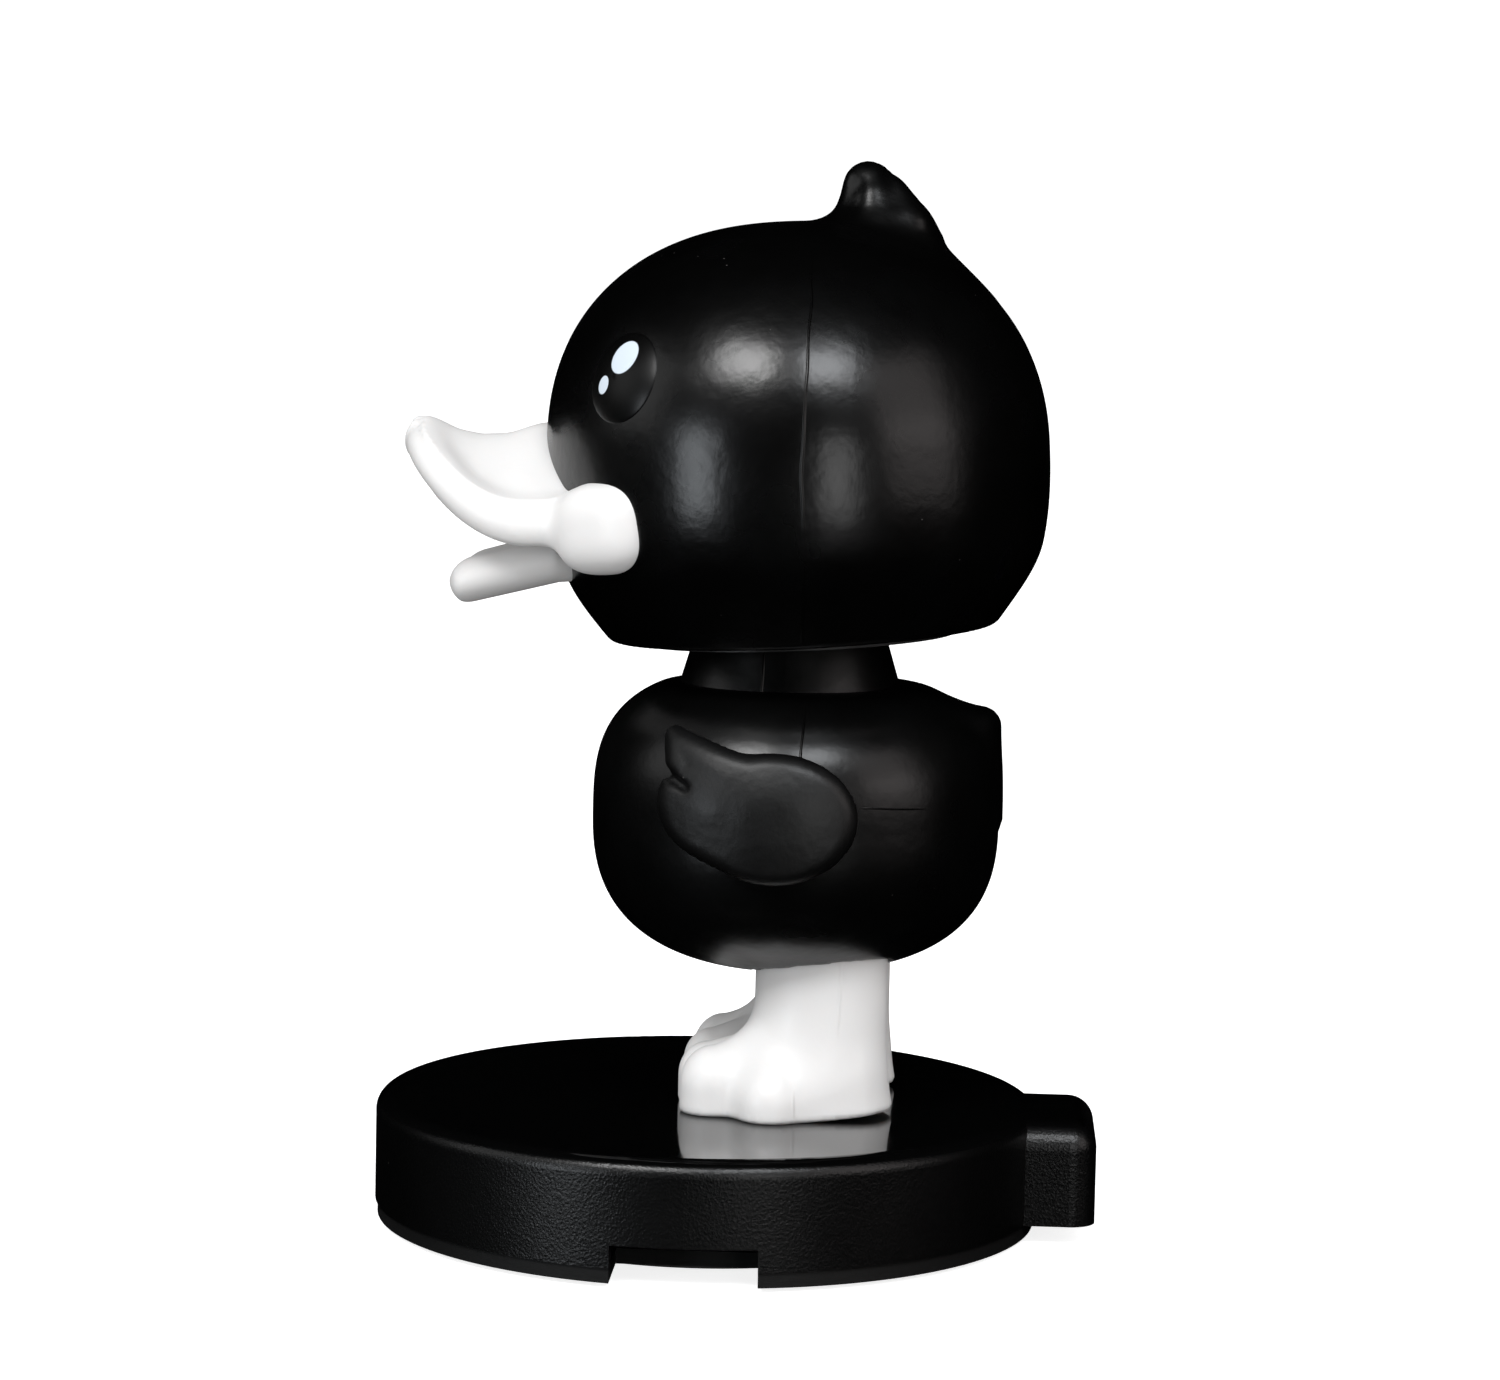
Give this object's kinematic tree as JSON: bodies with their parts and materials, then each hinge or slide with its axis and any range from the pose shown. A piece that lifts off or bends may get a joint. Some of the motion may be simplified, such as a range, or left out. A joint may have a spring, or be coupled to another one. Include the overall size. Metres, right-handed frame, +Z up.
{
  "type": "nodding duck figurine",
  "caption": "Black duck figurine with a white open bill and feet, on a round display base; its big head nods, tilts, turns and bounces on a neck spring.",
  "frame": {"origin": "centre of the round base's underside, on the surface it stands on", "axes": "+Z up, -Y the way the duck faces, +X the duck's left side"},
  "size_m": [0.0808, 0.0878, 0.1296],
  "materials": {
    "black_vinyl": "glossy moulded vinyl",
    "satin_vinyl": "satin moulded vinyl",
    "neck_black": "satin moulded plastic",
    "base_black": "polished top, fine grained skirt",
    "white_vinyl": "semi-gloss warm white vinyl",
    "eye_gloss": "high gloss black",
    "inner_plastic": "plain moulded plastic",
    "pad_rubber": "soft foam rubber",
    "spring_steel": "drawn spring wire",
    "steel": "plain zinc-plated steel"
  },
  "bodies": {
    "figure": {"base_cover": "base_black", "base_plate": "base_black", "grip_pad": "pad_rubber", "ballast_disc": "steel", "base_screws": "steel", "leg_screws": "steel", "left_leg": "white_vinyl", "right_leg": "white_vinyl", "body_shell": "black_vinyl", "left_wing": "satin_vinyl", "right_wing": "satin_vinyl", "neck_collar": "neck_black"},
    "neck_seat": {"spring_seat": "inner_plastic"},
    "spring": {"neck_spring": "spring_steel"},
    "cap": {"spring_cap": "inner_plastic"},
    "head": {"cap_screw": "steel", "head_insert": "inner_plastic", "head_shell": "black_vinyl", "left_eye": "eye_gloss", "right_eye": "eye_gloss", "upper_bill": "white_vinyl", "lower_bill": "white_vinyl"}
  },
  "joints": [
    {"name": "head_turn", "type": "hinge", "parent": "figure", "child": "neck_seat", "pos_m": [0, 0.009, 0.07], "axis": [0, 0, 1], "range_deg": [-25, 25], "stiffness_Nm_per_rad": 0.03},
    {"name": "head_bounce", "type": "slide", "parent": "neck_seat", "child": "spring", "axis": [0, 0, 1], "range_m": [-0.0015, 0.002], "stiffness_N_per_m": 700, "springref_m": 0.0005, "deforming": ["neck_spring"]},
    {"name": "head_tilt", "type": "hinge", "parent": "spring", "child": "cap", "pos_m": [0, 0.009, 0.08725], "axis": [0, 1, 0], "range_deg": [-7, 7], "stiffness_Nm_per_rad": 0.06},
    {"name": "head_nod", "type": "hinge", "parent": "cap", "child": "head", "pos_m": [0, 0.009, 0.08725], "axis": [1, 0, 0], "range_deg": [-9, 6], "stiffness_Nm_per_rad": 0.06}
  ]
}
